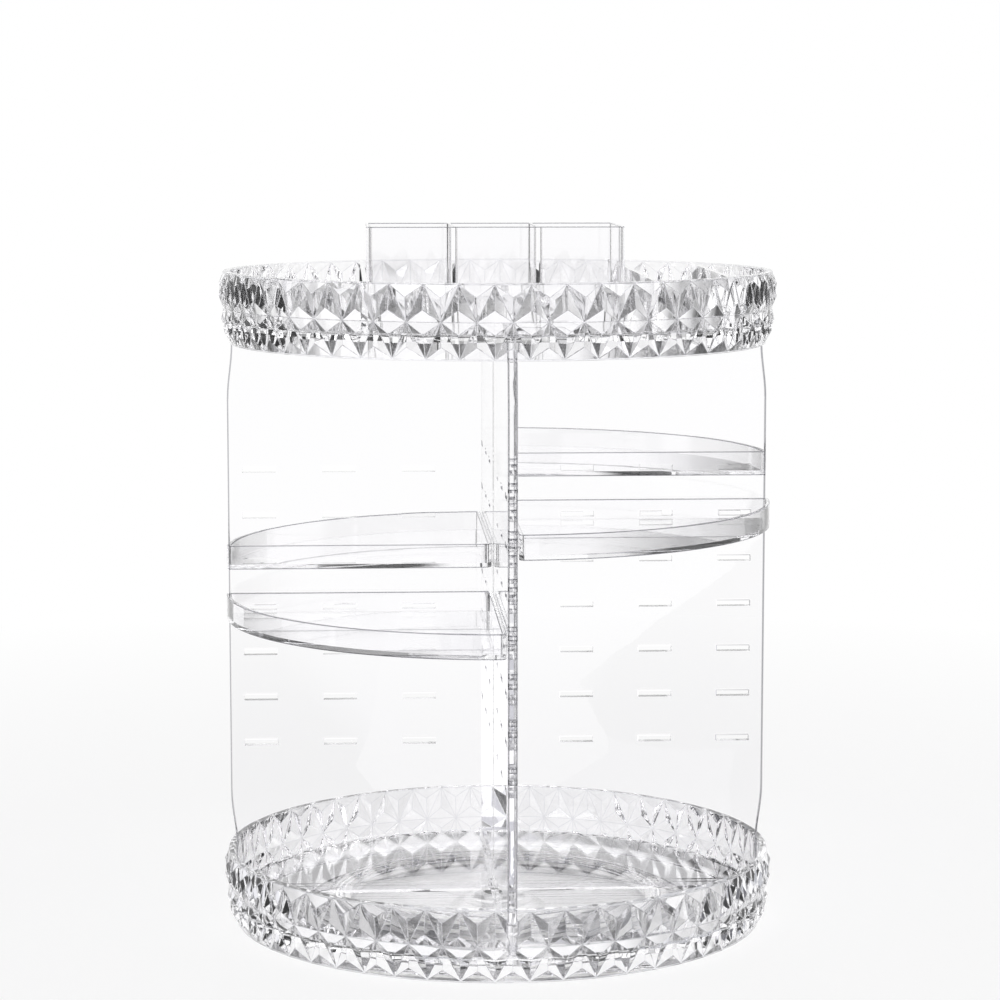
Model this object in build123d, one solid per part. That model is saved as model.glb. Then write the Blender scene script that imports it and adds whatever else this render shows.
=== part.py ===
from build123d import *
import math
import os

# Rotating organizer of clear plastic. Origin at the centre of the floor contact, +Z up, millimetres.
# The four boards stand along the X and Y axes, and the front of the organizer faces -Y.

# Diamond-cut rim, the same moulding on the base tray and the top tray
rim_tip_radius = 120.0
rim_height = 31.0
rim_lip = 0.6
rim_facets = 52
facet_relief = 1.9
rim_taper = 2.8
rim_wall = 3.0
skirt_wall = 3.2

# Tray floors
floor_rise = 7.4
floor_thickness = 2.3
floor_fillet = 1.5
base_clearance = 3.0
cut_margin = 1.0

# Upright boards
board_height = 249.7
board_thickness = 4.0
board_edge_radius = 117.0
board_edge_fillet = 0.7
board_centre_gap = 0.4
board_rim_gap = 0.4
board_curve_height = 24.0
board_tab_width = 12.0
board_tab_inner = 36.0
board_tab_outer = 94.0
board_fit = 0.05
top_fit = 0.2
top_tab_height = 2.0
seat_gap = 0.05

# Grooves that hold the boards upright
groove_height = 3.0
groove_wall = 1.5
groove_start = 8.0
groove_end = 107.0
groove_gap = 0.15

# Slots in the boards
slot_rows = 7
slot_columns = 3
slot_pitch = 20.0
slot_column_pitch = 34.5
slot_first_row = 67.3
slot_length = 14.5
slot_height = 2.4

# Shelf trays, with the number of free slot rows below each one
shelf_radius = 118.0
shelf_height = 10.5
shelf_wall = 1.8
shelf_floor = 2.0
shelf_board_gap = 0.4
shelf_inner_corner = 4.0
shelf_outer_corner = 2.5
shelf_edge = 0.5
shelf_rim_edge = 0.4
shelf_tab_rise = 4.0
shelf_tab_width = 9.5
shelf_tab_thickness = 2.0
shelf_tab_gap = 0.3
front_left_free_rows = 3
front_right_free_rows = 5
rear_left_free_rows = 4
rear_right_free_rows = 6

# Dividers and brush box in the top tray
divider_thickness = 2.0
divider_gap = 0.3
inner_divider_offset = 58.0
outer_divider_offset = 91.5
guide_height = 2.5
guide_wall = 1.2
guide_length = 14.0
guide_inset = 12.0
guide_gap = 0.15
box_front = 15.0
box_depth = 58.0
box_height = 39.2
box_wall = 1.8
box_cells = 3
box_gap = 0.4
box_corner = 2.5
box_cell_corner = 1.0
box_rim_edge = 0.4

# Turntable foot
foot_radius = 85.0
foot_thickness = 2.0
foot_lip_height = 4.0
foot_lip_wall = 1.5
foot_ribs = 8
foot_rib_wall = 1.5
foot_rib_height = 1.6
foot_rib_bite = 0.5
hub_radius = 16.0
hub_rise = 3.2
hub_slope = 5.0
hub_slope_shift = 1.0
pad_count = 6
pad_radius = 6.0
pad_height = 2.0
pad_pocket = 0.8
pad_inset = 9.0
pad_edge = 0.5

# Ball bearing
ball_radius = 2.5
ball_count = 24
ball_path_inset = 15.0
race_gap = 0.1
race_width = 10.0
race_web = 0.6
race_opening = 2.0
cage_thickness = 1.2
cage_width = 9.4
cage_hole_gap = 0.25

# Pivot
stem_radius = 6.0
stem_fit = 0.06
boss_radius = 12.0
boss_gap = 0.3
washer_radius = 10.0
washer_thickness = 1.0
washer_gap = 0.2
screw_radius = 1.5
screw_fit = 0.02
screw_length = 5.5
screw_head_radius = 4.2
screw_head_height = 2.0
screw_socket_radius = 1.4
screw_socket_depth = 1.0

# Radii that follow from the rim
facet_step = 360.0 / rim_facets
half_step = math.radians(facet_step / 2)
rim_base_radius = (rim_tip_radius - facet_relief) * 3 / (2 * math.cos(half_step) + 1)
rim_foot_radius = rim_base_radius - rim_taper
rim_inner_radius = rim_base_radius - rim_wall
skirt_inner_radius = rim_foot_radius - skirt_wall

# The balls' path, inside the edge of the foot
ball_path_radius = foot_radius - ball_path_inset

# Levels that follow, from the floor upwards
foot_bottom = pad_height
foot_top = foot_bottom + foot_thickness
ball_centre = foot_top + race_web + race_gap + ball_radius
lower_race_top = ball_centre - race_opening / 2
upper_race_bottom = ball_centre + race_opening / 2
hub_under = foot_bottom + hub_rise
hub_top = hub_under + foot_thickness
washer_top = hub_under - washer_gap
boss_bottom = hub_top + boss_gap
base_bottom = base_clearance
base_floor_under = base_bottom + floor_rise
base_floor_top = base_floor_under + floor_thickness
board_bottom = base_floor_top + seat_gap
board_top = board_bottom + board_height
top_floor_under = board_top + seat_gap
top_floor_top = top_floor_under + floor_thickness
top_bottom = top_floor_under - floor_rise
board_side = board_thickness / 2


def ring_points(radius, height, turn):
    """Points of one row of the diamond pattern, turned by a share of the pitch."""
    points = []
    for i in range(rim_facets):
        angle = math.radians(facet_step * (i + turn))
        points.append(Vector(radius * math.cos(angle), radius * math.sin(angle), height))
    return points


def raised_facets(a, b, c):
    """Three facets that rise from a triangle to a tip above its middle."""
    middle = (a + b + c) * (1 / 3)
    reach = math.hypot(middle.X, middle.Y)
    lift = (reach + facet_relief) / reach
    tip = Vector(middle.X * lift, middle.Y * lift, middle.Z)
    corners = [(a, b), (b, c), (c, a)]
    return [Face(Wire.make_polygon([p, q, tip])) for p, q in corners]


def faceted_drum(bottom):
    """Solid drum whose side is two rows of raised triangles between two thin plain lips."""
    top = bottom + rim_height
    under = ring_points(rim_foot_radius, bottom, 0.5)
    low = ring_points(rim_foot_radius, bottom + rim_lip, 0.5)
    mid = ring_points(rim_base_radius, bottom + rim_height / 2, 0)
    high = ring_points(rim_base_radius, top - rim_lip, 0.5)
    over = ring_points(rim_base_radius, top, 0.5)
    faces = [Face(Wire.make_polygon(under)), Face(Wire.make_polygon(over))]
    for i in range(rim_facets):
        after = (i + 1) % rim_facets
        for foot, head in ((under, low), (high, over)):
            faces.append(Face(Wire.make_polygon([foot[i - 1], foot[i], head[i], head[i - 1]])))
        for edge in (low, high):
            faces += raised_facets(edge[i - 1], edge[i], mid[i])
            faces += raised_facets(mid[i], mid[after], edge[i])
    return Solid(Shell(faces))


def well(radius, bottom, top):
    """Cutter for a tray's inside, rounded where the wall meets the floor."""
    cutter = disc(radius, bottom, top)
    return fillet(cutter.edges().group_by(Axis.Z)[0], floor_fillet)


def tube(outer, inner, bottom, top):
    """Ring with a square section."""
    seat = (Align.CENTER, Align.CENTER, Align.MIN)
    ring = Cylinder(outer, top - bottom, align=seat) - Cylinder(inner, top - bottom, align=seat)
    return Pos(0, 0, bottom) * ring


def disc(radius, bottom, top):
    """Plain cylinder about the axis of the turntable."""
    return Pos(0, 0, bottom) * Cylinder(radius, top - bottom, align=(Align.CENTER, Align.CENTER, Align.MIN))


def around(shape, count):
    """Copies of a shape at even steps about the axis."""
    return [Rot(0, 0, 360 / count * i) * shape for i in range(count)]


def faceted_tray(bottom):
    """Round tray with the diamond-cut rim, a floor, and a skirt below the floor."""
    floor_under = bottom + floor_rise
    floor_top = floor_under + floor_thickness
    drum = faceted_drum(bottom)
    drum -= well(rim_inner_radius, floor_top, bottom + rim_height + cut_margin)
    drum -= disc(skirt_inner_radius, bottom - cut_margin, floor_under)
    return drum


def board_grooves(bottom, top):
    """Pairs of ribs on both sides of each board."""
    length = groove_end - groove_start
    offset = board_side + groove_gap + groove_wall / 2
    rib = Box(length, groove_wall, top - bottom)
    place = Pos((groove_start + groove_end) / 2, 0, (bottom + top) / 2)
    pair = [place * Pos(0, side * offset, 0) * rib for side in (-1, 1)]
    return [rib for one in pair for rib in around(one, 4)]


def board_sockets(bottom, top, fit):
    """Cutters for the board tabs through a tray floor."""
    width = board_tab_width + 2 * fit
    depth = board_thickness + 2 * fit
    cutters = []
    for radius in (board_tab_inner, board_tab_outer):
        one = Pos(radius, 0, (bottom + top) / 2) * Box(width, depth, top - bottom)
        cutters += around(one, 4)
    return cutters


def upper_race():
    """Track under the base tray that the balls run in."""
    outer = ball_path_radius + race_width / 2
    inner = ball_path_radius - race_width / 2
    ring = tube(outer, inner, upper_race_bottom, base_floor_under)
    return ring - Pos(0, 0, ball_centre) * Torus(ball_path_radius, ball_radius + race_gap)


def pivot_boss():
    """Boss and stem under the base tray, drilled for the pivot screw."""
    boss = disc(boss_radius, boss_bottom, base_floor_under)
    return boss + disc(stem_radius - stem_fit, washer_top, boss_bottom)


def make_base_tray():
    """Bottom tray: turns on the foot and carries the boards."""
    tray = faceted_tray(base_bottom)
    tray += board_grooves(base_floor_top, base_floor_top + groove_height)
    tray += upper_race()
    tray += pivot_boss()
    tray -= board_sockets(base_floor_under - cut_margin, base_floor_top, board_fit)
    tray -= disc(screw_radius + screw_fit, washer_top, washer_top + screw_length)
    return tray


def guide_pair(offset, at):
    """Low ribs on the top tray's floor on both sides of a divider."""
    side = divider_thickness / 2 + guide_gap + guide_wall / 2
    rib = Box(guide_wall, guide_length, guide_height, align=(Align.CENTER, Align.CENTER, Align.MIN))
    return [Pos(offset + step * side, at, top_floor_top) * rib for step in (-1, 1)]


def divider_length(offset):
    """Longest straight wall that fits across the rim at this distance from the middle."""
    reach = rim_inner_radius - divider_gap
    return 2 * math.sqrt(reach ** 2 - (offset + divider_thickness / 2) ** 2)


def divider_guides():
    """Guides near both ends of the four dividers."""
    guides = []
    for offset in (inner_divider_offset, outer_divider_offset):
        reach = divider_length(offset) / 2 - guide_inset
        for side in (-1, 1):
            for end in (-1, 1):
                guides += guide_pair(side * offset, end * reach)
    return guides


def make_top_tray():
    """Top tray: rests on the boards and lifts off."""
    tray = faceted_tray(top_bottom)
    tray += board_grooves(top_floor_under - groove_height, top_floor_under)
    tray += divider_guides()
    tray -= board_sockets(top_floor_under - cut_margin, top_floor_top + cut_margin, top_fit)
    return tray


def board_outline():
    """Outline of a board, radius across and height up, with its S-shaped outer edge."""
    inner = board_side + board_centre_gap
    foot = rim_inner_radius - board_rim_gap
    neck = skirt_inner_radius - board_rim_gap
    head = rim_foot_radius - board_rim_gap
    low = base_bottom + rim_height + board_rim_gap
    high = top_bottom - board_rim_gap
    low_curve = low + board_curve_height
    high_curve = high - board_curve_height
    upright = (0, 1)
    edges = Polyline((head, high), (neck, high), (neck, board_top), (inner, board_top), (inner, board_bottom),
                     (foot, board_bottom), (foot, low))
    edges += Spline((foot, low), (board_edge_radius, low_curve), tangents=(upright, upright))
    edges += Line((board_edge_radius, low_curve), (board_edge_radius, high_curve))
    edges += Spline((board_edge_radius, high_curve), (head, high), tangents=(upright, upright))
    outline = make_face(edges)
    lower_corner = outline.vertices().sort_by_distance((foot, board_bottom))[0]
    return fillet(lower_corner, 2 * floor_fillet)


def outer_edges(board):
    """The long edges on both sides of a board's S-shaped outer edge."""
    beyond = (skirt_inner_radius + board_edge_radius) / 2 - board_rim_gap
    above = base_bottom + rim_height
    outer = [edge for edge in board.edges() if edge.center().X > beyond and edge.center().Z > above]
    return [edge for edge in outer if edge.length > board_curve_height / 2]


def make_board():
    """Upright board along +X with its slots and its tabs above and below."""
    face = board_outline()
    tab_top = board_top + top_tab_height
    tab_height = tab_top - base_floor_under
    for radius in (board_tab_inner, board_tab_outer):
        face += Pos(radius, base_floor_under + tab_height / 2) * Rectangle(board_tab_width, tab_height)
    for column in range(1, slot_columns + 1):
        for row in range(slot_rows):
            place = Pos(slot_column_pitch * column, slot_height_at(row))
            face -= place * Rectangle(slot_length, slot_height)
    board = Pos(0, board_side, 0) * extrude(Plane.XZ * face, board_thickness)
    return fillet(outer_edges(board), board_edge_fillet)


def slot_height_at(row):
    """Height of the middle of a slot row."""
    return base_floor_top + slot_first_row + slot_pitch * row


def shelf_outline():
    """Quarter circle that fills the space between two boards."""
    corner = board_side + shelf_board_gap
    block = Rectangle(shelf_radius, shelf_radius, align=(Align.MIN, Align.MIN))
    outline = Circle(shelf_radius) & Pos(corner, corner) * block
    corners = outline.vertices().sort_by_distance((0, 0))
    outline = fillet(corners[0], shelf_inner_corner)
    return fillet(outline.vertices().sort_by_distance((0, 0))[2:], shelf_outer_corner)


def shelf_tabs(bottom):
    """Tabs on both straight sides, one for each column of slots."""
    wall = board_side + shelf_board_gap + shelf_wall / 2
    depth = wall - shelf_tab_gap
    slack = (slot_length - shelf_tab_width) / 2 - shelf_tab_gap
    tab = Box(shelf_tab_width, depth, shelf_tab_thickness)
    middle = shelf_tab_gap + depth / 2
    tabs = []
    for column in range(1, slot_columns + 1):
        along = slot_column_pitch * column - slack
        tabs.append(Pos(along, middle, bottom + shelf_tab_rise) * tab)
        tabs.append(Pos(middle, along, bottom + shelf_tab_rise) * Rot(0, 0, 90) * tab)
    return tabs


def make_shelf(free_rows, quarter):
    """Shelf tray hung above its free slot rows, turned by quarter turns from the rear right."""
    bottom = slot_height_at(free_rows) - shelf_tab_rise
    outline = shelf_outline()
    shelf = extrude(outline, shelf_height)
    shelf = fillet(shelf.edges().group_by(Axis.Z)[0], shelf_edge)
    inside = extrude(offset(outline, amount=-shelf_wall), shelf_height)
    shelf -= Pos(0, 0, shelf_floor) * inside
    shelf = fillet(shelf.edges().group_by(Axis.Z)[-1], shelf_rim_edge)
    shelf = Pos(0, 0, bottom) * shelf + shelf_tabs(bottom)
    return Rot(0, 0, 90 * quarter) * shelf


def make_divider(offset):
    """Straight wall that stands on the top tray's floor, as high as the rim."""
    height = rim_height - floor_rise - floor_thickness - seat_gap
    seat = (Align.CENTER, Align.CENTER, Align.MIN)
    wall = Box(divider_thickness, divider_length(abs(offset)), height, align=seat)
    lower_ends = wall.edges().filter_by(Axis.X).group_by(Axis.Z)[0]
    return Pos(offset, 0, top_floor_top + seat_gap) * chamfer(lower_ends, 2 * floor_fillet)


def make_brush_box():
    """Tall open box with three cells between the inner dividers."""
    width = 2 * (inner_divider_offset - divider_thickness / 2 - box_gap)
    box = extrude(RectangleRounded(width, box_depth, box_corner), box_height)
    cell_width = (width - (box_cells + 1) * box_wall) / box_cells
    cell = extrude(RectangleRounded(cell_width, box_depth - 2 * box_wall, box_cell_corner), box_height)
    for i in range(box_cells):
        along = (i - (box_cells - 1) / 2) * (cell_width + box_wall)
        box -= Pos(along, 0, box_wall) * cell
    box = fillet(box.edges().group_by(Axis.Z)[-1], box_rim_edge)
    return Pos(0, box_front + box_depth / 2, top_floor_top + seat_gap) * box


def make_foot_plate():
    """Lower disc of the turntable: raised hub, lower race, ribs and an upturned edge."""
    inner = ball_path_radius - race_width / 2
    outer = ball_path_radius + race_width / 2
    slope_end = hub_radius + hub_slope
    lip_top = foot_bottom + foot_lip_height
    lip = foot_radius - foot_lip_wall
    hub_inside = hub_radius - hub_slope_shift
    slope_inside = slope_end - hub_slope_shift
    section = Polyline((stem_radius, hub_under), (hub_inside, hub_under), (slope_inside, foot_bottom),
                       (foot_radius, foot_bottom), (foot_radius, lip_top), (lip, lip_top), (lip, foot_top),
                       (outer, foot_top), (outer, lower_race_top), (inner, lower_race_top), (inner, foot_top),
                       (slope_end, foot_top), (hub_radius, hub_top), (stem_radius, hub_top), close=True)
    plate = revolve(Plane.XZ * make_face(section), Axis.Z)
    plate -= Pos(0, 0, ball_centre) * Torus(ball_path_radius, ball_radius + race_gap)
    rib_length = inner - slope_end
    seat = (Align.CENTER, Align.CENTER, Align.MIN)
    rib = Box(rib_length + 2 * foot_rib_bite, foot_rib_wall, foot_rib_height, align=seat)
    plate += around(Pos(slope_end + rib_length / 2, 0, foot_top) * rib, foot_ribs)
    pocket = disc(pad_radius, 0, foot_bottom + pad_pocket)
    plate -= around(Pos(foot_radius - pad_inset, 0, 0) * pocket, pad_count)
    return plate


def make_pads():
    """Rubber pads in pockets under the foot plate."""
    pad = fillet(disc(pad_radius, 0, foot_bottom + pad_pocket).edges().group_by(Axis.Z)[0], pad_edge)
    return Compound(children=around(Pos(foot_radius - pad_inset, 0, 0) * pad, pad_count))


def make_ball_cage():
    """Ring that keeps the balls apart."""
    outer = ball_path_radius + cage_width / 2
    inner = ball_path_radius - cage_width / 2
    low = ball_centre - cage_thickness / 2
    high = ball_centre + cage_thickness / 2
    hole = Pos(ball_path_radius, 0, 0) * disc(ball_radius + cage_hole_gap, low, high)
    return tube(outer, inner, low, high) - around(hole, ball_count)


def make_balls():
    """Balls on their path, half a step round from the boards."""
    ball = Pos(ball_path_radius, 0, ball_centre) * Sphere(ball_radius)
    return Compound(children=around(ball, ball_count))


def make_pivot_washer():
    """Washer that keeps the foot plate on the stem."""
    return tube(washer_radius, screw_radius + screw_fit, washer_top - washer_thickness, washer_top)


def make_pivot_screw():
    """Screw up into the stem from below."""
    seat = washer_top - washer_thickness
    head_under = seat - screw_head_height
    head = disc(screw_head_radius, head_under, seat)
    head = fillet(head.edges().group_by(Axis.Z)[0], screw_head_height / 3)
    shank = disc(screw_radius, seat, washer_top + screw_length)
    socket = disc(screw_socket_radius, head_under, head_under + screw_socket_depth)
    return head + shank - socket


def make_all():
    """Every piece of the organizer by name."""
    board = make_board()
    return {
        "foot_plate": make_foot_plate(),
        "rubber_feet": make_pads(),
        "ball_cage": make_ball_cage(),
        "bearing_balls": make_balls(),
        "pivot_washer": make_pivot_washer(),
        "pivot_screw": make_pivot_screw(),
        "base_tray": make_base_tray(),
        "right_board": board,
        "rear_board": Rot(0, 0, 90) * board,
        "left_board": Rot(0, 0, 180) * board,
        "front_board": Rot(0, 0, 270) * board,
        "rear_right_shelf": make_shelf(rear_right_free_rows, 0),
        "rear_left_shelf": make_shelf(rear_left_free_rows, 1),
        "front_left_shelf": make_shelf(front_left_free_rows, 2),
        "front_right_shelf": make_shelf(front_right_free_rows, 3),
        "top_tray": make_top_tray(),
        "inner_divider_left": make_divider(-inner_divider_offset),
        "inner_divider_right": make_divider(inner_divider_offset),
        "outer_divider_left": make_divider(-outer_divider_offset),
        "outer_divider_right": make_divider(outer_divider_offset),
        "brush_box": make_brush_box(),
    }


os.makedirs("parts", exist_ok=True)
for name, piece in make_all().items():
    export_step(piece, f"parts/{name}.step")
    print(name, round(piece.volume, 1))
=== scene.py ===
import math

import bmesh
import bpy
import numpy as np
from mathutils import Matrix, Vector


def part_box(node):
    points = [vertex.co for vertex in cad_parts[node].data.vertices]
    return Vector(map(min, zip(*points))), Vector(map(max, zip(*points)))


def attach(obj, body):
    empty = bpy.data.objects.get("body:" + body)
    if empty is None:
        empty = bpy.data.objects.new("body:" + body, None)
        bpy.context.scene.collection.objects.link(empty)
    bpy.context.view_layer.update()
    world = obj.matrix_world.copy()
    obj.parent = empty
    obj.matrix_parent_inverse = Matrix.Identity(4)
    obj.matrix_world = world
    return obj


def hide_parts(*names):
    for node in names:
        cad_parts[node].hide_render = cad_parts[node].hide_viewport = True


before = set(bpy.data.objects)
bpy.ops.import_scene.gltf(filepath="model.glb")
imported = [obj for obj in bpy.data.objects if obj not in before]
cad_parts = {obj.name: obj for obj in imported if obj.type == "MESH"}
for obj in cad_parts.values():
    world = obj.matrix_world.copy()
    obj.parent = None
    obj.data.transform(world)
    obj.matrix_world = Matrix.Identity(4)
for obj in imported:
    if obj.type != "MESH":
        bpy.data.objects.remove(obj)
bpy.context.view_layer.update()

# The camera, fitted to the two rims: in front, a little above the object and to the left of its front board
CAMERA_DISTANCE = 1.300
CAMERA_HEIGHT = 0.3456
CAMERA_ASIDE = 0.001
CAMERA_TURN = math.radians(-3.0)
CAMERA_PITCH = math.radians(-7.0)
CAMERA_LENS = 108.3
SENSOR = 36.0

# The floor: its reach and colour, and the share near the object that stays dull, so that it keeps a shadow
FLOOR_REACH = 12.0
FLOOR_COLOUR = (0.86, 0.86, 0.87, 1)
FLOOR_SHADE = 0.16
SHADE_REACH = (0.30, 0.85)

# The studio seen from its middle: panels that are pale on the four sides and dark in the corners between them
STUDIO_MIDDLE = (0.0, 0.0, 0.15)
PANEL_SIZE = (3.2, 3.2, 2.2)
PALE_STEPS = [(0.0, (0.14, 0.14, 0.16)), (0.28, (0.60, 0.60, 0.65)), (0.38, (0.92, 0.92, 0.96)),
              (0.48, (1.2, 1.2, 1.21))]
DARK_STEPS = [(0.0, (0.002, 0.002, 0.003)), (0.60, (0.10, 0.10, 0.12)), (0.64, (0.50, 0.51, 0.55)),
              (0.67, (1.15, 1.15, 1.16))]
CORNER = (0.22, 0.34)

# White level with the object: its share by the height of a direction, from -1 straight down to 1 straight up
STRIP_SHARE = 0.85
STRIP = [(-1, 0), (-0.20, 0), (-0.14, 1), (0.03, 1), (0.06, STRIP_SHARE), (0.24, STRIP_SHARE), (0.32, 0),
         (1, 0)]

# The height of a direction from which light bent by the plastic sees the studio, not plain white
BENT_UP = (0.05, 0.10)

# The count of reflections from which caught light sees plain white again
LONG_WAY = (5.0, 8.0)

# Glossy, clear moulded plastic
PLASTIC_IOR = 1.49
PLASTIC_TINT = (0.99, 0.988, 0.994, 1)
# Painted shade: a dark tint on the rounded edges and slot walls that a mask picks out
EDGE_PAINTED_SHADE = (0.16, 0.16, 0.18, 1)
# Painted shade: a grey tint on the rounded ridges of the rims
RIDGE_PAINTED_SHADE = (0.75, 0.75, 0.78, 1)

# Flow waves in it and the marks of rubbing in its gloss. Scales are in repeats per metre
FLOW_SCALE = 60.0
FLOW_DETAIL = 3.0
FLOW_STRENGTH = 0.05
RUB_SCALE = 900.0
RUB_STRETCH = (1, 1, 0.25)
RUB_RANGE = (0.45, 0.8)
RUB_HAZE = 0.02

# The grain of the opaque materials, and the shade, gloss and relief that it makes. Rubbing shares its detail
GRAIN_SCALE = 400.0
FINE_DETAIL = 4.0
GRAIN_DARKER = 0.85
GRAIN_RANGE = (0.3, 0.7)
GRAIN_GLOSS = 0.15
GRAIN_STRENGTH = 0.05
GRAIN_DEPTH = 0.0002

# Rounded edges, on which shade is painted as a dark tint: how sharply a mask ends, and the width of the
# rounding
EDGE_GAIN = 40.0
TOP_ROUNDING = 0.0004
FOOT_ROUNDING = 0.0005
BOARD_ROUNDING = 0.0007
# How much of the painted shade a board's rounded outer edge gets
BOARD_SHARE = 0.87

# A board: half its thickness, how far it reaches, and between which distances from the middle its slots lie
BOARD_FACE = 0.002
BOARD_REACH = 0.1172
SLOTS_REACH = (0.026, 0.1112)

# The slots: half the step between rows, and the parts with painted shade by their distance from the middle of
# a row
HALF_PITCH = 0.010
END_LIPS = (0.0006, 0.00119)
LONG_WALLS = (0.00119, 0.0014)
LONG_SHARE = 0.3

# The diamond-cut rims: the outer surface of both trays, and how far its ridges are rounded
RIM_RADIUS = 0.11824
RIM_TAPER = 0.0028
RIM_SKIN = 0.0003
RIDGE_WIDTH = 0.00018
RIDGE_SEGMENTS = 2
RIDGE_ANGLE = math.radians(12)
FLAT_ANGLE = math.radians(0.5)
MERGE = 1e-6

# The lamps are aimed at the middle of the object
LAMP_AIM = (0.0, 0.0, 0.14)


class Value:
    """A shader socket that does sums: +, - and * and their reflected forms each add one Math node."""

    def __init__(self, tree, socket):
        self.tree = tree
        self.socket = socket

    def _math(self, operation, a, b):
        return self.tree.add("ShaderNodeMath", {"operation": operation}, {0: a, 1: b})

    def __add__(self, other):
        return self._math("ADD", self, other)

    __radd__ = __add__

    def __sub__(self, other):
        return self._math("SUBTRACT", self, other)

    def __rsub__(self, other):
        return self._math("SUBTRACT", other, self)

    def __mul__(self, other):
        return self._math("MULTIPLY", self, other)

    __rmul__ = __mul__


class Tree:
    """A node tree. add() makes one node of a type with settings and inputs, and returns its chosen output."""

    def __init__(self, owner):
        owner.use_nodes = True
        self.nodes = owner.node_tree.nodes
        self.links = owner.node_tree.links
        self.nodes.clear()

    def add(self, kind, settings=None, inputs=None, output=0):
        node = self.nodes.new(kind)
        for name, setting in (settings or {}).items():
            if name == "stops":
                self._ramp(node.color_ramp, setting)
            elif name == "steps":
                self._ramp(node.color_ramp, setting)
                node.color_ramp.interpolation = "CONSTANT"
            else:
                setattr(node, name, setting)
        for name, given in (inputs or {}).items():
            if isinstance(given, Value):
                self.links.new(given.socket, node.inputs[name])
            else:
                node.inputs[name].default_value = given
        if not node.outputs:
            return node
        return Value(self, node.outputs[output])

    def _ramp(self, ramp, stops):
        for place, colour in stops[1:-1]:
            ramp.elements.new(place).color = colour
        for element, (place, colour) in zip((ramp.elements[0], ramp.elements[-1]), (stops[0], stops[-1])):
            element.position = place
            element.color = colour


def grey(level):
    """A grey of this level, as a colour with alpha."""
    return (level, level, level, 1)


def axes(tree, vector, names="XYZ"):
    """The named axes of a vector, each a value."""
    return [tree.add("ShaderNodeSeparateXYZ", {}, {"Vector": vector}, output=name) for name in names]


def light_path(tree, *rays):
    """1 for any of the named kinds or depths of ray, 0 for the rest."""
    kinds = [tree.add("ShaderNodeLightPath", output=ray) for ray in rays]
    total = kinds[0]
    for kind in kinds[1:]:
        total = total + kind
    return tree.add("ShaderNodeClamp", {}, {"Value": total})


def blend(tree, share, first, second):
    """The second colour for this share, and the first for the rest."""
    return tree.add("ShaderNodeMix", {"data_type": "RGBA"}, {"Factor": share, 6: first, 7: second}, output=2)


def carried(tree, value, limits, ends=(0.0, 1.0), clamp=True):
    """The value carried in a straight line from its limits to these ends, and held at them where clamped."""
    return tree.add("ShaderNodeMapRange", {"clamp": clamp}, {
        "Value": value, "From Min": limits[0], "From Max": limits[1], "To Min": ends[0], "To Max": ends[1]})


def noise(tree, scale, detail, stretch=(1, 1, 1)):
    """Noise on object coordinates; scale is in repeats per metre."""
    place = tree.add("ShaderNodeTexCoord", output="Object")
    place = tree.add("ShaderNodeMapping", {}, {"Vector": place, "Scale": stretch})
    return tree.add("ShaderNodeTexNoise", {}, {"Vector": place, "Scale": scale, "Detail": detail})


def bump(tree, height, strength, distance):
    """A normal from a height."""
    return tree.add("ShaderNodeBump", {}, {"Height": height, "Strength": strength, "Distance": distance})


def between(tree, value, first, last):
    """1 between these two values, 0 at them and beyond: the share of the way times what is left, clamped."""
    share = carried(tree, value, (first, last), clamp=False)
    return tree.add("ShaderNodeClamp", {}, {"Value": share * (1.0 - share) * EDGE_GAIN})


def board_painted_shade(tree):
    """How much painted shade a board gets: high on its rounded outer edge and its slots' end lips, low on
    their long walls.

    It is 0 on both faces. A board stands along the X or the Y axis, so the smaller of the two is the distance
    to its middle plane. Slot rows have their middles at whole steps of the height.
    """
    place = tree.add("ShaderNodeTexCoord", output="Object")
    place = tree.add("ShaderNodeVectorMath", {"operation": "ABSOLUTE"}, {0: place})
    x, y, z = axes(tree, place)
    across = tree.add("ShaderNodeMath", {"operation": "MINIMUM"}, {0: x, 1: y})
    along = tree.add("ShaderNodeMath", {"operation": "MAXIMUM"}, {0: x, 1: y})
    rounding = between(tree, across, BOARD_FACE - BOARD_ROUNDING, BOARD_FACE)
    rounding = rounding * between(tree, along, SLOTS_REACH[1], BOARD_REACH)
    from_row = tree.add("ShaderNodeMath", {"operation": "PINGPONG"}, {0: z, 1: HALF_PITCH})
    slots = between(tree, across, -BOARD_FACE, BOARD_FACE) * between(tree, along, *SLOTS_REACH)
    lips = between(tree, from_row, *END_LIPS) + between(tree, from_row, *LONG_WALLS) * LONG_SHARE
    return rounding * BOARD_SHARE + slots * lips


def level_painted_shade(node):
    """For a tray or box, where shade is painted: 1 on the rounding along its top and its bottom, 0 between
    and on the flat parts.
    """
    low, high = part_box(node)

    def mask(tree):
        z, = axes(tree, tree.add("ShaderNodeTexCoord", output="Object"), "Z")
        foot = between(tree, z, low[2], low[2] + FOOT_ROUNDING)
        return foot + between(tree, z, high[2] - TOP_ROUNDING, high[2])

    return mask


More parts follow.
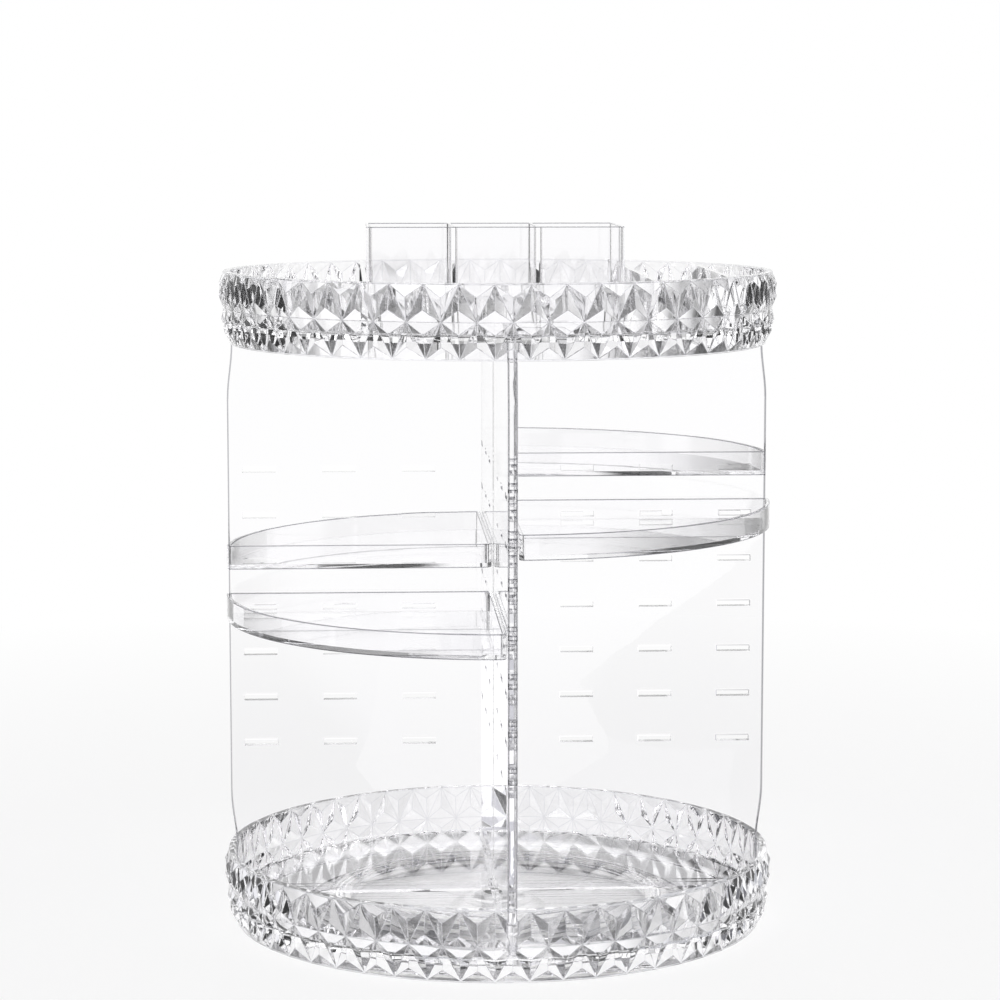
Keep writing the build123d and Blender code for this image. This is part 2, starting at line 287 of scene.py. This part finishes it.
def clear_plastic(name, roughness, wave, tint=PLASTIC_TINT, edges=None):
    """Clear moulded plastic: faint flow waves, rubbing marks in the gloss, painted shade on masked edges,
    lamps shining through.
    """
    material = bpy.data.materials.new(name)
    tree = Tree(material)
    flow = noise(tree, FLOW_SCALE, FLOW_DETAIL)
    rubbed = noise(tree, RUB_SCALE, FINE_DETAIL, RUB_STRETCH)
    marks = carried(tree, rubbed, RUB_RANGE, (roughness, roughness + RUB_HAZE))
    # Painted shade: the edges mask blends in the dark tint
    colour = blend(tree, edges(tree), tint, EDGE_PAINTED_SHADE) if edges else tint
    body = tree.add("ShaderNodeBsdfPrincipled", {}, {
        "Base Color": colour, "Roughness": marks, "IOR": PLASTIC_IOR, "Transmission Weight": 1.0,
        "Normal": bump(tree, flow, FLOW_STRENGTH, wave)})
    open_air = tree.add("ShaderNodeBsdfTransparent", {}, {"Color": tint})
    shadow = light_path(tree, "Is Shadow Ray")
    mixed = tree.add("ShaderNodeMixShader", {}, {0: shadow, 1: body, 2: open_air})
    tree.add("ShaderNodeOutputMaterial", {}, {"Surface": mixed})
    return material


def opaque(name, colour, roughness, metallic=0.0):
    """An opaque material with a fine grain in its colour, gloss and relief."""
    material = bpy.data.materials.new(name)
    tree = Tree(material)
    grain = noise(tree, GRAIN_SCALE, FINE_DETAIL)
    darker = tuple(GRAIN_DARKER * part for part in colour[:3]) + (1,)
    stops = [(GRAIN_RANGE[0], darker), (GRAIN_RANGE[1], colour)]
    shade = tree.add("ShaderNodeValToRGB", {"stops": stops}, {"Fac": grain})
    gloss = roughness + (grain - 0.5) * GRAIN_GLOSS
    body = tree.add("ShaderNodeBsdfPrincipled", {}, {
        "Base Color": shade, "Roughness": gloss, "Metallic": metallic,
        "Normal": bump(tree, grain, GRAIN_STRENGTH, GRAIN_DEPTH)})
    tree.add("ShaderNodeOutputMaterial", {}, {"Surface": body})
    return material


def dress(nodes, material):
    """Gives CAD nodes a material."""
    for name in nodes:
        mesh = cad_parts[name].data
        mesh.materials.clear()
        mesh.materials.append(material)


def caught(tree):
    """1 for light reflected inside the plastic, back to 0 for light that ran on along a floor or a board."""
    turns = tree.add("ShaderNodeLightPath", output="Glossy Depth")
    long_way = carried(tree, turns, LONG_WAY)
    return light_path(tree, "Transmission Depth") * light_path(tree, "Glossy Depth") * (1.0 - long_way)


def by_height(tree, up, stops):
    """A level that follows the height of a direction, from -1 straight down to 1 straight up."""
    places = [((height + 1) / 2, grey(level)) for height, level in stops]
    return tree.add("ShaderNodeValToRGB", {"stops": places}, {"Fac": up * 0.5 + 0.5})


def studio(tree, way):
    """The studio by direction: pale panels on the four sides, dark ones in the corners, and a white strip.

    A panel is one cell of a Voronoi texture, stretched upright, and a ramp turns the cell's number into its
    shade. The strip is level with the object and lies over the pale panels only.
    """
    tall = tree.add("ShaderNodeMapping", {}, {"Vector": way, "Scale": PANEL_SIZE})
    cells = tree.add("ShaderNodeTexVoronoi", {}, {"Vector": tall, "Scale": 1.0}, output="Color")
    shades = []
    for steps in (PALE_STEPS, DARK_STEPS):
        opaque_steps = [(place, colour + (1,)) for place, colour in steps]
        shades.append(tree.add("ShaderNodeValToRGB", {"steps": opaque_steps}, {"Fac": cells}))
    pale, dark = shades
    up, = axes(tree, way, "Z")
    flat = tree.add("ShaderNodeVectorMath", {"operation": "MULTIPLY"}, {0: way, 1: (1, 1, 0)})
    flat = tree.add("ShaderNodeVectorMath", {"operation": "NORMALIZE"}, {0: flat})
    x, y = axes(tree, flat, "XY")
    corner = tree.add("ShaderNodeMath", {"operation": "ABSOLUTE"}, {0: x * y * 2.0})
    corner = carried(tree, corner, CORNER)
    strip = by_height(tree, up, STRIP)
    return blend(tree, corner, blend(tree, strip, pale, grey(1.0)), dark)


def crisp_tray(node, body, plastic, rubbed_ridge_and_painted_shade):
    """The tray with its ridges rounded: the CAD mesh joined up, and a bevel on every edge between rim facets.

    An edge lies on the rim where both its ends are as far out as the rim's own radius at their height, which
    shrinks in a straight line from the middle of the rim to its foot.
    """
    low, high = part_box(node)
    form = bmesh.new()
    form.from_mesh(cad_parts[node].data)
    bmesh.ops.remove_doubles(form, verts=form.verts, dist=MERGE)
    bmesh.ops.dissolve_limit(form, angle_limit=FLAT_ANGLE, verts=form.verts, edges=form.edges)
    place = np.array([vertex.co for vertex in form.verts])
    rise = np.clip((place[:, 2] - low[2]) * 2 / (high[2] - low[2]), 0, 1)
    outer = np.hypot(place[:, 0], place[:, 1]) > RIM_RADIUS - RIM_TAPER * (1 - rise) - RIM_SKIN
    weight = form.edges.layers.float.new("bevel_weight_edge")
    for edge in form.edges:
        first, second = edge.verts
        on_rim = outer[first.index] and outer[second.index] and edge.is_manifold
        edge[weight] = 1.0 if on_rim and edge.calc_face_angle() > RIDGE_ANGLE else 0.0
    mesh = bpy.data.meshes.new(node + "_crisp")
    form.to_mesh(mesh)
    form.free()
    mesh.materials.append(plastic)
    mesh.materials.append(rubbed_ridge_and_painted_shade)
    tray = bpy.data.objects.new(node + "_crisp", mesh)
    bpy.context.scene.collection.objects.link(tray)
    bevel = tray.modifiers.new("ridges", "BEVEL")
    bevel.limit_method = "WEIGHT"
    bevel.width = RIDGE_WIDTH
    bevel.segments = RIDGE_SEGMENTS
    # The rounded ridges get the second material: haze from rubbing in its gloss, and painted shade
    bevel.material = 1
    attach(tray, body)
    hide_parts(node)


def make_world():
    """White behind the object, and the studio for light that the plastic catches or bends upwards."""
    world = bpy.data.worlds.new("studio")
    bpy.context.scene.world = world
    tree = Tree(world)
    way = tree.add("ShaderNodeTexCoord", output="Generated")
    up, = axes(tree, way, "Z")
    high = carried(tree, up, BENT_UP)
    bent = (1.0 - light_path(tree, "Glossy Depth")) * (1.0 - light_path(tree, "Is Camera Ray"))
    colour = blend(tree, caught(tree) + high * bent, grey(1.0), studio(tree, way))
    light = tree.add("ShaderNodeBackground", {}, {"Color": colour, "Strength": 1.0})
    tree.add("ShaderNodeOutputWorld", {}, {"Surface": light})


def make_floor():
    """White floor that keeps a soft shadow and is as white through the plastic as beside it."""
    mesh = bpy.data.meshes.new("floor")
    r = FLOOR_REACH
    mesh.from_pydata([(-r, -r, 0), (r, -r, 0), (r, r, 0), (-r, r, 0)], [], [(0, 1, 2, 3)])
    floor = bpy.data.objects.new("floor", mesh)
    bpy.context.scene.collection.objects.link(floor)
    material = bpy.data.materials.new("floor_white")
    tree = Tree(material)
    place = tree.add("ShaderNodeTexCoord", output="Object")
    away = tree.add("ShaderNodeVectorMath", {"operation": "SUBTRACT"}, {0: place, 1: STUDIO_MIDDLE})
    way = tree.add("ShaderNodeVectorMath", {"operation": "NORMALIZE"}, {0: away})
    reach = tree.add("ShaderNodeVectorMath", {"operation": "LENGTH"}, {0: place}, output="Value")
    shade = carried(tree, reach, SHADE_REACH, (FLOOR_SHADE, 0.0))
    colour = blend(tree, caught(tree), grey(1.0), studio(tree, way))
    dull = tree.add("ShaderNodeBsdfDiffuse", {}, {"Color": FLOOR_COLOUR})
    lit = tree.add("ShaderNodeEmission", {}, {"Color": colour, "Strength": 1.0})
    seen = light_path(tree, "Is Camera Ray", "Is Glossy Ray", "Is Transmission Ray")
    seen = seen * (1.0 - shade * (1.0 - caught(tree)))
    mixed = tree.add("ShaderNodeMixShader", {}, {0: seen, 1: dull, 2: lit})
    tree.add("ShaderNodeOutputMaterial", {}, {"Surface": mixed})
    mesh.materials.append(material)


def make_lamp(name, place, size, power):
    """Soft rectangular lamp aimed at the middle of the object."""
    data = bpy.data.lights.new(name, "AREA")
    data.shape = "RECTANGLE"
    data.size, data.size_y = size
    data.energy = power
    lamp = bpy.data.objects.new(name, data)
    lamp.location = place
    aim = np.array(LAMP_AIM) - np.array(place)
    flat = math.hypot(aim[0], aim[1])
    lamp.rotation_euler = (math.atan2(flat, -aim[2]), 0, math.atan2(-aim[0], aim[1]))
    bpy.context.scene.collection.objects.link(lamp)


def make_camera():
    """The camera of the photograph's view."""
    data = bpy.data.cameras.new("camera")
    data.lens = CAMERA_LENS
    data.sensor_width = SENSOR
    camera = bpy.data.objects.new("camera", data)
    s, c = math.sin(CAMERA_TURN), math.cos(CAMERA_TURN)
    x = CAMERA_DISTANCE * s + CAMERA_ASIDE * c
    y = CAMERA_ASIDE * s - CAMERA_DISTANCE * c
    camera.location = (x, y, CAMERA_HEIGHT)
    camera.rotation_euler = (math.pi / 2 + CAMERA_PITCH, 0, CAMERA_TURN)
    bpy.context.scene.collection.objects.link(camera)
    bpy.context.scene.camera = camera


scene = bpy.context.scene
scene.view_settings.view_transform = "Standard"
scene.cycles.max_bounces = 64
scene.cycles.transmission_bounces = 64
scene.cycles.glossy_bounces = 64
scene.cycles.transparent_max_bounces = 60

make_camera()
make_world()
make_floor()
make_lamp("key_lamp", place=(-1.1, -1.2, 1.5), size=(0.9, 0.9), power=14.0)
make_lamp("fill_lamp", place=(1.4, -0.7, 1.0), size=(0.7, 1.0), power=8.0)

boards = ["front_board", "right_board", "rear_board", "left_board"]
shelves = ["front_left_shelf", "front_right_shelf", "rear_left_shelf", "rear_right_shelf"]
dividers = ["inner_divider_left", "inner_divider_right", "outer_divider_left", "outer_divider_right"]
rim = clear_plastic("clear_rim", roughness=0.004, wave=0.0001)
# The ridges' material: haze from rubbing in its gloss, and a grey tint that is painted shade
rubbed_ridge_and_painted_shade = clear_plastic("ridge_rubbed_with_painted_shade", roughness=0.08, wave=0.0006, tint=RIDGE_PAINTED_SHADE)
# Painted shade: the boards get it on their rounded edges and slot walls, the shelves and box on their top and
# bottom rounding
dress(boards, clear_plastic("clear_board", roughness=0.006, wave=0.0002, edges=board_painted_shade))
dress(dividers, clear_plastic("clear_divider", roughness=0.008, wave=0.0003))
for name in shelves + ["brush_box"]:
    dress([name], clear_plastic("clear_" + name, roughness=0.008, wave=0.0003, edges=level_painted_shade(name)))
crisp_tray("base_tray", "rotor", rim, rubbed_ridge_and_painted_shade)
crisp_tray("top_tray", "top", rim, rubbed_ridge_and_painted_shade)
dress(["foot_plate"], clear_plastic("frosted_foot", roughness=0.25, wave=0.0006))
dress(["rubber_feet"], opaque("foot_rubber", (0.62, 0.63, 0.64, 1), roughness=0.6))
dress(["ball_cage"], opaque("white_cage", (0.82, 0.82, 0.8, 1), roughness=0.35))
dress(["bearing_balls"], opaque("steel_ball", (0.7, 0.71, 0.73, 1), roughness=0.12, metallic=1.0))
steel = opaque("plated_steel", (0.66, 0.67, 0.68, 1), roughness=0.3, metallic=1.0)
dress(["pivot_screw", "pivot_washer"], steel)
